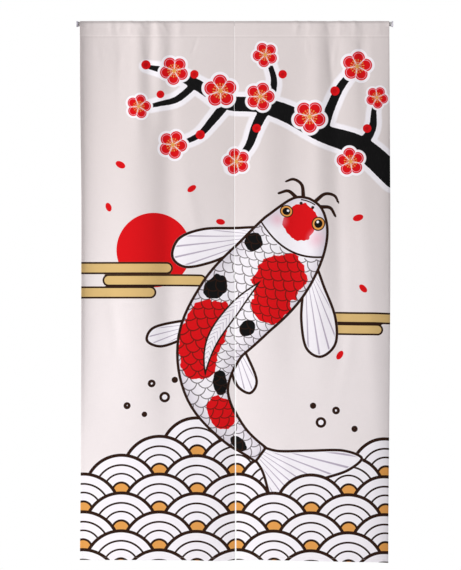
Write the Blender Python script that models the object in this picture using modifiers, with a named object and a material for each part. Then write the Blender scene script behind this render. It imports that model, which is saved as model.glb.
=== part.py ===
"""A noren: a two-panel doorway curtain, hung by its casings on a plain tension rod.

Each panel is one piece of printed cloth. Its top is turned to the back over the
rod and stitched down, which makes the casing, and a hem runs round its other
three sides. The rod presses on both sides of a doorway through two rubber caps.

Units are metres. +Z is up, +X is to the right as seen from the front, and the
front of the cloth faces -Y. The origin is the middle of the rod's axis.
"""
import math

import bpy
import numpy as np

# Rod and end caps
ROD_SPAN = 0.876
ROD_RADIUS = 0.0050
ROD_SIDES = 32
CAP_FACE_RADIUS = 0.0090
CAP_NECK_RADIUS = 0.0060
CAP_LENGTH = 0.0100
CAP_FLOOR = 0.0035
CAP_RIM_ROUND = 0.0005
CAP_FLARE_POWER = 1.7
CAP_SIDES = 40
SEAT_GAP = 0.0003

# Cloth
CLOTH_THICKNESS = 0.0015
HEM_THICKNESS = 0.0021
HEM_WIDTH = 0.0120
HEM_SHOULDER = 0.0015
CASING_STITCH_DROP = 0.0345
CASING_CREST = 0.0013
CASING_CREST_ANGLE = math.radians(38.0)
CASING_FACET_GAP = 0.0001
CASING_SIDE_POWER = 1.4
FOLD_CLEAR_OF_ROD = 0.0070
FULL_DROP = 1.4916

# Rows and columns of the cloth mesh
CASING_ARC_STEPS = 8
CASING_SIDE_STEPS = 3
BODY_ROWS = 19
BODY_ROW_GROWTH = 1.35
PANEL_COLUMNS = 30
COLUMN_FOLD_PULL = 15.0

# The sides of the curtain and the slit between its panels, at drops below the rod's axis
EDGE_COLUMNS = ("drop", "left_edge", "right_edge", "slit_middle", "slit_gap")
EDGE_ROWS = (
    (0.000, -0.4273, 0.4273, -0.0014, 0.0006),
    (0.182, -0.4260, 0.4290, -0.0013, 0.0008),
    (0.487, -0.4230, 0.4306, -0.0010, 0.0014),
    (0.760, -0.4231, 0.4304, 0.0002, 0.0020),
    (1.123, -0.4243, 0.4273, 0.0016, 0.0029),
    (1.372, -0.4264, 0.4252, 0.0022, 0.0036),
    (1.492, -0.4280, 0.4248, 0.0023, 0.0042),
)

# The bottom edge hangs lower towards the right corner
HEM_COLUMNS = ("across", "drop")
HEM_ROWS = (
    (-0.428, 1.4844),
    (-0.150, 1.4844),
    (-0.019, 1.4860),
    (0.003, 1.4847),
    (0.125, 1.4847),
    (0.255, 1.4866),
    (0.343, 1.4880),
    (0.388, 1.4888),
    (0.425, 1.4916),
)

# Folds of the hanging cloth. A positive height stands towards the front, and a
# fold grows from its start to full, stays, and dies away by its end.
FOLD_COLUMNS = (
    "top_across", "foot_across", "half_width", "height", "start", "full", "fading", "end",
)
FOLD_ROWS = (
    (-0.265, -0.262, 0.0170, 0.0032, 0.006, 0.034, 0.12, 0.45),
    (-0.207, -0.215, 0.0150, 0.0030, 0.006, 0.034, 0.10, 0.36),
    (-0.236, -0.226, 0.0130, -0.0014, 0.012, 0.040, 0.10, 0.36),
    (-0.174, -0.178, 0.0150, -0.0022, 0.012, 0.040, 0.12, 0.45),
    (-0.264, -0.258, 0.0620, 0.0070, 0.060, 0.420, 0.75, 1.35),
    (-0.188, -0.176, 0.0320, -0.0050, 0.120, 0.420, 0.80, 1.30),
    (0.084, 0.092, 0.0420, 0.0022, 0.060, 0.300, 0.70, 1.20),
    (0.158, 0.166, 0.0380, -0.0022, 0.060, 0.300, 0.70, 1.20),
    (0.228, 0.240, 0.0240, 0.0042, 0.006, 0.045, 0.60, 1.10),
    (0.264, 0.312, 0.0210, -0.0038, 0.012, 0.050, 0.62, 1.15),
    (0.312, 0.392, 0.0280, 0.0025, 0.012, 0.060, 0.80, 1.30),
    (0.344, 0.352, 0.0140, -0.0014, 0.012, 0.050, 0.10, 0.30),
)

# How far each panel bows towards the front between its edges, and how far its
# edges curl to the front or, where negative, to the back
SHAPE_COLUMNS = ("top_bow", "foot_bow", "left_curl", "right_curl")
SHAPE_ROWS = {
    "panel_left": (0.0010, 0.0090, 0.0045, -0.0022),
    "panel_right": (0.0010, 0.0080, -0.0032, -0.0042),
}
CURL_LENGTH = 0.022
FRONT_CURL_FADING = 0.85
FRONT_CURL_END = 1.25

# Colours, roughness and metallic value of each material
CLOTH_COLOUR = (0.752, 0.680, 0.665, 1.0)
ROD_COLOUR = (0.480, 0.460, 0.500, 1.0)
CAP_COLOUR = (0.445, 0.415, 0.475, 1.0)


def smooth_step(low, high, value):
    """Rise from 0 at low to 1 at high with level ends."""
    share = np.clip((value - low) / (high - low), 0.0, 1.0)
    return share * share * (3.0 - 2.0 * share)


def table_column(names, rows, name):
    """One named column of a table, as an array."""
    return np.array([row[names.index(name)] for row in rows])


def smooth_curve(value, knots, heights):
    """Read a table between its rows on cubic pieces that share the neighbours' slopes."""
    slopes = np.gradient(heights, knots)
    piece = np.clip(np.searchsorted(knots, value, side="right") - 1, 0, len(knots) - 2)
    span = knots[piece + 1] - knots[piece]
    t = np.clip((value - knots[piece]) / span, 0.0, 1.0)
    from_first = heights[piece] * (2.0 * t - 3.0) * t * t + heights[piece]
    from_second = heights[piece + 1] * (3.0 - 2.0 * t) * t * t
    first_slope = slopes[piece] * span * t * (1.0 - t) ** 2
    second_slope = slopes[piece + 1] * span * (t - 1.0) * t * t
    return from_first + from_second + first_slope + second_slope


def edge_at(name, drop):
    """A side of the curtain, or a measure of its slit, at the given drops."""
    drops = table_column(EDGE_COLUMNS, EDGE_ROWS, "drop")
    return smooth_curve(drop, drops, table_column(EDGE_COLUMNS, EDGE_ROWS, name))


def hem_drop_at(across):
    """Drop of the bottom edge at the given places across the curtain."""
    places = table_column(HEM_COLUMNS, HEM_ROWS, "across")
    return smooth_curve(across, places, table_column(HEM_COLUMNS, HEM_ROWS, "drop"))


def panel_sides(name, drop):
    """Left and right edge of a panel at the given drops."""
    middle = edge_at("slit_middle", drop)
    half_gap = edge_at("slit_gap", drop) / 2
    if name == "panel_left":
        return edge_at("left_edge", drop), middle - half_gap
    return middle + half_gap, edge_at("right_edge", drop)


def fold_relief(across, drop):
    """How far the folds stand towards the front: bell-shaped ridges and troughs that lean and fade."""
    relief = np.zeros(np.broadcast(across, drop).shape)
    for row in FOLD_ROWS:
        fold = dict(zip(FOLD_COLUMNS, row))
        lean = (fold["foot_across"] - fold["top_across"]) * drop / FULL_DROP
        offset = (across - fold["top_across"] - lean) / fold["half_width"]
        strength = smooth_step(fold["start"], fold["full"], drop)
        strength = strength * (1.0 - smooth_step(fold["fading"], fold["end"], drop))
        relief = relief + fold["height"] * strength * np.exp(-offset ** 2)
    return relief


def panel_relief(name, across, drop):
    """The folds, with the panel's forward bow and the curl of its two edges added."""
    shape = dict(zip(SHAPE_COLUMNS, SHAPE_ROWS[name]))
    left, right = panel_sides(name, drop)
    share = (across - left) / (right - left)
    bow = shape["top_bow"] + (shape["foot_bow"] - shape["top_bow"]) * drop / FULL_DROP
    left_curl = shape["left_curl"] * np.exp(-(across - left) / CURL_LENGTH)
    right_curl = shape["right_curl"] * np.exp(-(right - across) / CURL_LENGTH)
    if name == "panel_left":
        left_curl = left_curl * (1.0 - smooth_step(FRONT_CURL_FADING, FRONT_CURL_END, drop))
        right_curl = right_curl * drop / FULL_DROP
    relief = fold_relief(across, drop) + bow * 4.0 * share * (1.0 - share) + left_curl + right_curl
    return relief * smooth_step(FOLD_CLEAR_OF_ROD, CASING_STITCH_DROP, drop)


def casing_rows():
    """Depth and height of each row from the stitch line, up the back, over the rod and down the front."""
    radius = ROD_RADIUS + SEAT_GAP + CASING_FACET_GAP + CLOTH_THICKNESS / 2
    rise = np.linspace(1.0, 0.0, CASING_SIDE_STEPS + 1)[1:-1]
    side_height = -CASING_STITCH_DROP * rise
    side_depth = radius * (1.0 - rise ** CASING_SIDE_POWER)
    angle = np.linspace(-math.pi / 2, math.pi / 2, CASING_ARC_STEPS + 1)
    crest = np.clip(1.0 - np.abs(angle) / CASING_CREST_ANGLE, 0.0, 1.0)
    reach = radius + CASING_CREST * crest
    depth = np.concatenate([side_depth, -reach * np.sin(angle), -side_depth[::-1]])
    height = np.concatenate([side_height, reach * np.cos(angle), side_height[::-1]])
    return depth, height


def panel_columns(name):
    """Places of the columns across a panel as shares of its width, closer together on the folds."""
    left, right = panel_sides(name, 0.0)
    place = np.linspace(0.0, 1.0, 801)
    across = left + (right - left) * place
    density = np.ones_like(place)
    for row in FOLD_ROWS:
        fold = dict(zip(FOLD_COLUMNS, row))
        steepness = abs(fold["height"]) / fold["half_width"]
        offset = (across - fold["top_across"]) / fold["half_width"]
        density = density + COLUMN_FOLD_PULL * steepness * np.exp(-offset ** 2)
    total = np.concatenate([[0.0], np.cumsum((density[1:] + density[:-1]) / 2)])
    hem = HEM_WIDTH / (right - left)
    shoulder = (HEM_WIDTH + HEM_SHOULDER) / (right - left)
    between = np.interp(np.linspace(0.0, total[-1], PANEL_COLUMNS - 4), total, place)
    inner = shoulder + (1.0 - 2.0 * shoulder) * between
    return np.concatenate([[0.0, hem], inner, [1.0 - hem, 1.0]])


def body_rows():
    """Rows below the casing as shares of the way from the stitch line to the bottom edge."""
    hem = HEM_WIDTH / (FULL_DROP - CASING_STITCH_DROP)
    shoulder = (HEM_WIDTH + HEM_SHOULDER) / (FULL_DROP - CASING_STITCH_DROP)
    steps = np.linspace(0.0, 1.0, BODY_ROWS + 1)[:-1] ** BODY_ROW_GROWTH
    return np.concatenate([steps, [1.0 - shoulder, 1.0 - hem, 1.0]])


def panel_points(name):
    """Rows of points on a panel's middle surface: round the casing, then down to the bottom edge."""
    share = panel_columns(name)
    rows = []
    for depth, height in zip(*casing_rows()):
        drop = max(-height, 0.0)
        left, right = panel_sides(name, drop)
        across = left + (right - left) * share
        forward = panel_relief(name, across, drop)
        rows.append(np.stack([across, depth - forward, np.full_like(across, height)], axis=1))
    for body_share in body_rows():
        left, right = panel_sides(name, CASING_STITCH_DROP + (FULL_DROP - CASING_STITCH_DROP) * body_share)
        across = left + (right - left) * share
        drop = CASING_STITCH_DROP + (hem_drop_at(across) - CASING_STITCH_DROP) * body_share
        rows.append(np.stack([across, -panel_relief(name, across, drop), -drop], axis=1))
    return np.array(rows)


def panel_faces(points, stitch_row):
    """Quads between neighbouring rows, with the turned end sewn to the front at the stitch line."""
    index = np.arange(points.shape[0] * points.shape[1]).reshape(points.shape[:2])
    upper = np.concatenate([index[stitch_row:stitch_row + 1], index[:-1]])
    lower = np.concatenate([index[:1], index[1:]])
    quads = np.stack([upper[:, :-1], upper[:, 1:], lower[:, 1:], lower[:, :-1]], axis=-1)
    return quads.reshape(-1, 4)


def hem_indices(points, stitch_row):
    """Points on the side hems below the casing and on the bottom hem, whose cloth lies folded over."""
    index = np.arange(points.shape[0] * points.shape[1]).reshape(points.shape[:2])
    sides = index[stitch_row + 1:, [0, 1, -2, -1]]
    return np.unique(np.concatenate([sides.ravel(), index[-2:].ravel()]))


def add_material(item, name, colour, roughness, metallic):
    """Give an object its own Principled material."""
    material = bpy.data.materials.new(name)
    material.use_nodes = True
    shader = material.node_tree.nodes["Principled BSDF"]
    shader.inputs["Base Color"].default_value = colour
    shader.inputs["Roughness"].default_value = roughness
    shader.inputs["Metallic"].default_value = metallic
    item.data.materials.append(material)


def make_panel(collection, name):
    """One panel: its cloth surface with the casing, given thickness, more of it at the hems."""
    points = panel_points(name)
    stitch_row = len(casing_rows()[0])
    mesh = bpy.data.meshes.new(name)
    mesh.from_pydata(points.reshape(-1, 3).tolist(), [], panel_faces(points, stitch_row).tolist())
    mesh.shade_smooth()
    panel = bpy.data.objects.new(name, mesh)
    collection.objects.link(panel)
    hem = panel.vertex_groups.new(name="Hem")
    hem.add(hem_indices(points, stitch_row).tolist(), 1.0, "REPLACE")
    thickness = panel.modifiers.new("Cloth thickness", "SOLIDIFY")
    thickness.solidify_mode = "NON_MANIFOLD"
    thickness.nonmanifold_thickness_mode = "EVEN"
    thickness.nonmanifold_boundary_mode = "NONE"
    thickness.thickness = HEM_THICKNESS
    thickness.vertex_group = hem.name
    thickness.thickness_vertex_group = CLOTH_THICKNESS / HEM_THICKNESS
    thickness.offset = 0.0
    add_material(panel, name + "_cloth", CLOTH_COLOUR, 0.9, 0.0)


def make_rod(collection):
    """The tension rod, whose ends stop just short of the floors of the caps."""
    length = ROD_SPAN - 2 * (CAP_FLOOR + SEAT_GAP)
    bpy.ops.mesh.primitive_cylinder_add(
        vertices=ROD_SIDES, radius=ROD_RADIUS, depth=length, rotation=(0.0, math.pi / 2, 0.0))
    rod = bpy.context.object
    rod.name = "rod"
    rod.data.shade_smooth()
    rod.data.set_sharp_from_angle(angle=math.radians(40.0))
    for holder in list(rod.users_collection):
        holder.objects.unlink(rod)
    collection.objects.link(rod)
    add_material(rod, "rod_coating", ROD_COLOUR, 0.35, 0.0)


def cap_profile():
    """Half section of a cap: its floor and socket, then down its flared outside to the wall face."""
    socket = ROD_RADIUS + SEAT_GAP
    flare = np.linspace(1.0, 0.0, 7)
    outside = CAP_NECK_RADIUS + (CAP_FACE_RADIUS - CAP_NECK_RADIUS) * (1.0 - flare) ** CAP_FLARE_POWER
    heights = CAP_RIM_ROUND * 2 + (CAP_LENGTH - CAP_RIM_ROUND * 2) * flare
    profile = [(0.0, CAP_FLOOR), (socket, CAP_FLOOR), (socket, CAP_LENGTH)]
    profile += list(zip(outside, heights))
    profile += [(CAP_FACE_RADIUS, CAP_RIM_ROUND), (CAP_FACE_RADIUS - CAP_RIM_ROUND, 0.0), (0.0, 0.0)]
    return profile


def make_cap(collection, name, side):
    """A flared rubber cap: a turned cup that holds one end of the rod."""
    profile = cap_profile()
    mesh = bpy.data.meshes.new(name)
    points = [(radius, 0.0, height) for radius, height in profile]
    mesh.from_pydata(points, [(k, k + 1) for k in range(len(points) - 1)], [])
    cap = bpy.data.objects.new(name, mesh)
    collection.objects.link(cap)
    turn = cap.modifiers.new("Turned", "SCREW")
    turn.axis = "Z"
    turn.steps = CAP_SIDES
    turn.render_steps = CAP_SIDES
    turn.use_merge_vertices = True
    turn.merge_threshold = 0.00001
    turn.use_smooth_shade = True
    cap.location = (side * ROD_SPAN / 2, 0.0, 0.0)
    cap.rotation_euler = (0.0, -side * math.pi / 2, 0.0)
    add_material(cap, name + "_rubber", CAP_COLOUR, 0.45, 0.0)


for item in list(bpy.data.objects):
    bpy.data.objects.remove(item, do_unlink=True)

noren = bpy.data.collections.new("noren_curtain")
bpy.context.scene.collection.children.link(noren)
make_panel(noren, "panel_left")
make_panel(noren, "panel_right")
make_rod(noren)
make_cap(noren, "cap_left", -1)
make_cap(noren, "cap_right", 1)
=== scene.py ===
import math

import bpy
import numpy as np
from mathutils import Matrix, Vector


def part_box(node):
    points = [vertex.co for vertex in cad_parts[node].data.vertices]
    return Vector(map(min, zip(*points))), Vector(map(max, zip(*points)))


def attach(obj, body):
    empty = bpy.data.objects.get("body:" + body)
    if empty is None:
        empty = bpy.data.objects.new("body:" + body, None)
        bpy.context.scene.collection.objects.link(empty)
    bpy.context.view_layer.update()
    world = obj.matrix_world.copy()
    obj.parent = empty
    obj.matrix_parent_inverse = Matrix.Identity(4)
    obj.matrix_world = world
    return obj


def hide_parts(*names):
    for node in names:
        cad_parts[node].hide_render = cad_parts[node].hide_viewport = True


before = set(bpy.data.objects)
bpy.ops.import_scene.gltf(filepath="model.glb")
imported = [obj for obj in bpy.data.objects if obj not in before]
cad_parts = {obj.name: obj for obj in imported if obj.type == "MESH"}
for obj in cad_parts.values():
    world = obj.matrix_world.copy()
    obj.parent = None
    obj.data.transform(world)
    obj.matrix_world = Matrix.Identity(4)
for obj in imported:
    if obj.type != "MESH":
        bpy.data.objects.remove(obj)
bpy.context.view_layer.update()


# Tension rod. A light steel tube with a pale grey baked coating, sprung between
# the two sides of the doorway. Only a sliver shows at each end, between the cap
# and the casing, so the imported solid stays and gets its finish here.
rod_low, rod_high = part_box("rod")
ROD_RADIUS = (rod_high.z - rod_low.z) / 2
ROD_GREY = (0.50, 0.48, 0.52, 1.0)
ROD_GREY_WORN = (0.40, 0.385, 0.42, 1.0)


class Value:
    """One shader socket with Python's arithmetic: each operation adds a Math node to its tree."""

    def __init__(self, tree, socket):
        self.tree = tree
        self.socket = socket

    def node(self, kind, settings=None, **values):
        """Add any node: its settings first, then its sockets' values or links, by name or index."""
        made = self.tree.nodes.new(kind)
        for name, setting in (settings or {}).items():
            setattr(made, name, setting)
        for name, value in values.items():
            key = int(name[1:]) if name[0] == "_" and name[1:].isdigit() else name.replace("_", " ")
            if isinstance(value, Value):
                self.tree.links.new(value.socket, made.inputs[key])
            else:
                made.inputs[key].default_value = value
        return made

    def math(self, operation, *values):
        """The result of a Math node of that operation on this value and up to two more."""
        numbers = {f"_{k}": value for k, value in enumerate((self, *values))}
        made = self.node("ShaderNodeMath", {"operation": operation}, **numbers)
        return Value(self.tree, made.outputs[0])

    def from_number(self, number):
        """A fixed number as a socket of this tree, for the reflected forms of the operators."""
        made = self.node("ShaderNodeValue")
        made.outputs[0].default_value = number
        return Value(self.tree, made.outputs[0])

    def __add__(self, other):
        return self.math("ADD", other)

    __radd__ = __add__

    def __sub__(self, other):
        return self.math("SUBTRACT", other)

    def __rsub__(self, other):
        return self.math("MULTIPLY_ADD", -1.0, other)

    def __mul__(self, other):
        return self.math("MULTIPLY", other)

    __rmul__ = __mul__

    def __truediv__(self, other):
        return self.math("DIVIDE", other)

    def __rtruediv__(self, other):
        return self.from_number(other).math("DIVIDE", self)

    def __neg__(self):
        return self.math("MULTIPLY", -1.0)

    def below(self, edge, soft):
        """1 where the value is under edge, 0 where it is over it, across a soft step."""
        made = self.node(
            "ShaderNodeMapRange", {"interpolation_type": "SMOOTHSTEP"},
            Value=self, From_Min=edge - soft, From_Max=edge + soft, To_Min=1.0, To_Max=0.0)
        return Value(self.tree, made.outputs[0])

    def mix(self, first, second):
        """Colour mixed from first to second by this value."""
        settings = {"data_type": "RGBA", "clamp_factor": True}
        made = self.node("ShaderNodeMix", settings, _0=self, _6=first, _7=second)
        return Value(self.tree, made.outputs[2])


def new_material(name):
    """A material with its Principled shader, and a Value through which its tree is written."""
    material = bpy.data.materials.new(name)
    material.use_nodes = True
    shader = material.node_tree.nodes["Principled BSDF"]
    return material, shader, Value(material.node_tree, None)


def link(value, socket):
    """Lead a value into a socket of the shader."""
    value.tree.links.new(value.socket, socket)


def object_point(pen):
    """Object coordinates, in metres."""
    return Value(pen.tree, pen.node("ShaderNodeTexCoord").outputs["Object"])


def noise(pen, point, scale, detail=2.0):
    """A noise value from 0 to 1 at a point, with scale features a metre."""
    made = pen.node("ShaderNodeTexNoise", Vector=point, Scale=scale, Detail=detail)
    return Value(pen.tree, made.outputs[0])


def bump(pen, height, distance):
    """A normal from a height field, whose unit is worth the given distance in metres."""
    made = pen.node("ShaderNodeBump", Height=height, Distance=distance)
    return Value(pen.tree, made.outputs[0])


rod_material, shader, pen = new_material("rod_coating")
point = object_point(pen)
patches = noise(pen, point, 60.0, 3.0)
grain = noise(pen, point, 900.0, 2.0)
link(patches.mix(ROD_GREY, ROD_GREY_WORN), shader.inputs["Base Color"])
link(0.28 + patches * 0.16, shader.inputs["Roughness"])
link(bump(pen, grain, 0.00004), shader.inputs["Normal"])
shader.inputs["Metallic"].default_value = 0.0
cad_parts["rod"].material_slots[0].material = rod_material


# End caps. Milky grey rubber, moulded: a flared foot that grips the wall, with
# shallow rings in its face, and a thin sleeve pushed over the rod's end. Away from
# the rod's axis the rubber is darker: painted shade on the outer flare and rim.
cap_low, cap_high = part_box("cap_left")
HALF_SPAN = -cap_low.x
CAP_LENGTH = cap_high.x - cap_low.x
CAP_FACE_RADIUS = (cap_high.z - cap_low.z) / 2
CAP_NECK_RADIUS = 0.0060
CAP_SOCKET_GAP = 0.0003
CAP_SOCKET_RADIUS = ROD_RADIUS + CAP_SOCKET_GAP
CAP_FLOOR = 0.0035
CAP_FLARE_POWER = 1.7
CAP_RIM_ROUND = 0.0005
CAP_LIP_ROUND = 0.0003
CAP_MOUTH_SLOPE = 0.0002
CAP_POLE_RADIUS = 0.0002
CAP_RING_DEPTH = 0.00025
CAP_RING_PITCH = 0.0022
CAP_RING_MARGIN = 0.0016
CAP_SEGMENTS = 72
CAP_FLARE_STEPS = 17
CAP_ROUND_STEPS = 6
CAP_FACE_STEPS = 40
# Distance from the rod's axis beyond which the rubber carries painted shade
CAP_PAINTED_SHADE_REACH = 0.0076
CAP_PAINTED_SHADE_SOFT = 0.000012
RUBBER_MOULD_SCALE = 220.0
RUBBER_GRAIN_SCALE = 2400.0
RUBBER_GRAIN_DEPTH = 0.00003
RUBBER_SCATTER = (0.016, 0.016, 0.017)
RUBBER_GREY = (0.72, 0.70, 0.78, 1.0)
RUBBER_GREY_DARK = (0.60, 0.57, 0.65, 1.0)
# Painted shade: the darker rubber of the cap's outer flare and rim
RUBBER_PAINTED_SHADE = (0.36, 0.34, 0.38, 1.0)


def ring_faces(rings, sides):
    """Quads between rings of points, each ring closed round."""
    index = np.arange(rings * sides).reshape(rings, sides)
    index = np.concatenate([index, index[:, :1]], axis=1)
    corners = [index[:-1, :-1], index[:-1, 1:], index[1:, 1:], index[1:, :-1]]
    return np.stack(corners, axis=-1).reshape(-1, 4)


def new_object(name, data):
    """An object at the origin, in the scene."""
    made = bpy.data.objects.new(name, data)
    bpy.context.scene.collection.objects.link(made)
    return made


def new_piece(name, points, faces, material):
    """A mesh object from an array of points and a list of faces, shaded smooth."""
    mesh = bpy.data.meshes.new(name)
    mesh.from_pydata(points.reshape(-1, 3).tolist(), [], faces)
    mesh.shade_smooth()
    mesh.materials.append(material)
    return new_object(name, mesh)


def split(vector):
    """The three parts of a vector, as numbers."""
    parts = vector.node("ShaderNodeSeparateXYZ", Vector=vector)
    return [Value(vector.tree, socket) for socket in parts.outputs]


def cap_section():
    """Reach and height of the cap's half section: socket, sleeve, flare, rim and ringed face."""
    flare = np.linspace(0.0, 1.0, CAP_FLARE_STEPS)
    outside = CAP_NECK_RADIUS + (CAP_FACE_RADIUS - CAP_NECK_RADIUS) * flare ** CAP_FLARE_POWER
    height = CAP_LENGTH - CAP_RIM_ROUND - (CAP_LENGTH - CAP_RIM_ROUND * 3) * flare
    turn = np.linspace(0.0, math.pi / 2, CAP_ROUND_STEPS)
    lip = np.stack([
        CAP_NECK_RADIUS - CAP_LIP_ROUND * (1.0 - np.sin(turn)),
        CAP_LENGTH - CAP_LIP_ROUND * (1.0 - np.cos(turn))], axis=1)
    rim = np.stack([
        CAP_FACE_RADIUS - CAP_RIM_ROUND + CAP_RIM_ROUND * np.cos(turn),
        CAP_RIM_ROUND - CAP_RIM_ROUND * np.sin(turn)], axis=1)
    face = np.linspace(CAP_FACE_RADIUS - CAP_RIM_ROUND * 1.2, CAP_POLE_RADIUS, CAP_FACE_STEPS)
    rings = CAP_RING_DEPTH * np.clip(np.sin(2 * math.pi * face / CAP_RING_PITCH), 0.0, 1.0)
    rings = rings * (face < CAP_FACE_RADIUS - CAP_RING_MARGIN)
    socket = [
        (CAP_POLE_RADIUS, CAP_FLOOR), (CAP_SOCKET_RADIUS, CAP_FLOOR),
        (CAP_SOCKET_RADIUS, CAP_LENGTH - CAP_MOUTH_SLOPE)]
    return np.concatenate([
        socket, lip, np.stack([outside, height], axis=1), rim, np.stack([face, rings], axis=1)])


def make_cap(name, node, side, material):
    """A cap: its half section carried round the rod's axis, its small poles closed with a disc."""
    section = cap_section()
    around = np.linspace(0.0, 2 * math.pi, CAP_SEGMENTS, endpoint=False) * side
    reach = section[:, :1]
    along = np.broadcast_to(side * (HALF_SPAN - section[:, 1:]), (len(section), CAP_SEGMENTS))
    points = np.stack([along, reach * np.cos(around), reach * np.sin(around)], axis=-1)
    ring = np.arange(CAP_SEGMENTS)
    poles = [ring[::-1].tolist(), (ring + (len(section) - 1) * CAP_SEGMENTS).tolist()]
    faces = ring_faces(len(section), CAP_SEGMENTS).tolist()
    piece = new_piece(name, points, faces + poles, material)
    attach(piece, "root")
    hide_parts(node)


cap_material, shader, pen = new_material("cap_rubber")
point = object_point(pen)
mould = noise(pen, point, RUBBER_MOULD_SCALE, 3.0)
depth, height = split(point)[1:]
# Painted shade: the rubber turns darker beyond a set distance from the rod's axis
rim_painted_shade = 1.0 - (height * height + depth * depth).below(CAP_PAINTED_SHADE_REACH ** 2, CAP_PAINTED_SHADE_SOFT)
rubber = rim_painted_shade.mix(mould.mix(RUBBER_GREY, RUBBER_GREY_DARK), RUBBER_PAINTED_SHADE)
link(rubber, shader.inputs["Base Color"])
link(0.38 + mould * 0.2, shader.inputs["Roughness"])
grain = noise(pen, point, RUBBER_GRAIN_SCALE, 2.0)
link(bump(pen, grain, RUBBER_GRAIN_DEPTH), shader.inputs["Normal"])
shader.inputs["Subsurface Weight"].default_value = 1.0
shader.inputs["Subsurface Radius"].default_value = RUBBER_SCATTER
shader.inputs["Subsurface Scale"].default_value = 1.0
make_cap("end_cap_left", "cap_left", -1, cap_material)
make_cap("end_cap_right", "cap_right", 1, cap_material)


# Curtain panels. Two lengths of printed polyester plain weave. The top of each is
# turned to the back over the rod and sewn down in one row of stitches, which makes
# the casing, and the other edges are turned in narrow sewn hems.
CLOTH_HALF = 0.00030
HEM_HALF = 0.00056
HEM_WIDTH = 0.0100
HEM_STEP = 0.0050
STITCH_DROP = 0.0345
FLAP_PAST_STITCHES = 0.0030
CASING_GAP = 0.00042
CASING_RADIUS = ROD_RADIUS + CASING_GAP + CLOTH_HALF
CREST_STEPS = 11
CASING_STEPS = 16
CASING_CREST = 0.0027
CASING_CREST_ANGLE = math.radians(40.0)
CASING_CREST_POWER = 1.3
CASING_SIDE_POWER = 1.4
FOLD_AT_CREST = 0.25
CASING_SLACK = 0.0024
FRONT_OF_ROD = 0.0002
PAST_ROD = 0.0080
CLEARANCE_SOFT = 0.0003
LAP_HALF = 0.00036
FULL_DROP = 1.4916
PANEL_COLUMNS = 124
BODY_ROWS = 316
COLUMN_PULL = 0.35
RIM_SHARE = 0.0015

# Stretches in which something grows or fades: along the cloth from the rod's crest,
# and for the lap, which is the doubled cloth at the stitches, at drops
FOLD_GROWS_AT_CREST = (-0.010, 0.0)
FOLD_GROWS_BELOW = (0.0, 0.016)
SLACK_GROWS = (-0.002, 0.012)
SLACK_FADES_FROM = 0.016
PUCKER_GROWS = (-0.004, 0.014)
PUCKER_FADES = (0.030, 0.052)
SIDE_WAVE_GROWS = (0.03, 0.06)
LAP_FADES = (0.05, 0.09)
LAP_STARTS_AT = 0.6
HEM_GROWS = 0.006

# What the tight thread does to the cloth: dents at the casing's seam, and small waves
# along it and along the sides
SEAM_DENT = 0.00030
SEAM_DENT_WIDTH = 0.0016
SEAM_WAVE = 0.00010
SEAM_WAVE_LENGTH = 0.0105
SEAM_WAVE_REACH = 0.0065
SIDE_WAVE = 0.00005
SIDE_WAVE_LENGTH = 0.0150
SIDE_WAVE_REACH = 0.0070
CREST_RIPPLE = 0.90
CREST_RIPPLE_LOW = 0.0003
CREST_RIPPLE_LENGTH = 0.010

# The sides of the curtain and the slit between its panels, at drops below the rod's axis
EDGE_COLUMNS = ("drop", "left_edge", "right_edge", "slit_middle", "slit_gap")
EDGE_ROWS = (
    (0.000, -0.4279, 0.4273, -0.0014, 0.0006),
    (0.182, -0.4274, 0.4286, -0.0013, 0.0007),
    (0.487, -0.4243, 0.4306, -0.0010, 0.0013),
    (0.760, -0.4244, 0.4304, 0.0002, 0.0019),
    (1.123, -0.4256, 0.4276, 0.0016, 0.0028),
    (1.372, -0.4273, 0.4254, 0.0022, 0.0036),
    (1.492, -0.4286, 0.4250, 0.0023, 0.0042),
)

# The bottom edge, as places across and their drops: it hangs lower towards the right corner
HEM_ROWS = (
    (-0.428, 1.4822),
    (-0.150, 1.4822),
    (-0.019, 1.4842),
    (0.003, 1.4828),
    (0.125, 1.4830),
    (0.255, 1.4856),
    (0.343, 1.4880),
    (0.388, 1.4888),
    (0.425, 1.4916),
)

# Folds: place at the top and at the foot, half width, height to the front, and the drops
# at which a fold starts, is full, begins to fade and ends
FOLD_ROWS = (
    (-0.429, -0.429, 0.0280, 0.0014, 0.006, 0.034, 0.30, 0.90),
    (-0.320, -0.318, 0.0105, -0.0006, 0.006, 0.034, 0.10, 0.30),
    (-0.275, -0.270, 0.0300, 0.0021, 0.006, 0.034, 0.12, 0.45),
    (-0.265, -0.262, 0.0175, 0.0025, 0.006, 0.034, 0.12, 0.45),
    (-0.207, -0.215, 0.0155, 0.0024, 0.006, 0.034, 0.10, 0.36),
    (-0.236, -0.226, 0.0130, -0.0010, 0.012, 0.040, 0.10, 0.36),
    (-0.174, -0.178, 0.0155, -0.0018, 0.012, 0.040, 0.12, 0.45),
    (-0.266, -0.262, 0.0760, 0.0088, 0.060, 0.420, 0.75, 1.35),
    (-0.188, -0.176, 0.0330, -0.0040, 0.120, 0.420, 0.80, 1.30),
    (0.084, 0.092, 0.0420, 0.0022, 0.060, 0.300, 0.70, 1.20),
    (0.158, 0.166, 0.0380, -0.0022, 0.060, 0.300, 0.70, 1.20),
    (0.228, 0.240, 0.0240, 0.0028, 0.006, 0.045, 0.60, 1.10),
    (0.270, 0.313, 0.0210, -0.0028, 0.012, 0.050, 0.62, 1.15),
    (0.319, 0.420, 0.0280, 0.0019, 0.012, 0.060, 0.80, 1.30),
    (0.356, 0.360, 0.0140, -0.0014, 0.012, 0.050, 0.10, 0.30),
)

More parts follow.
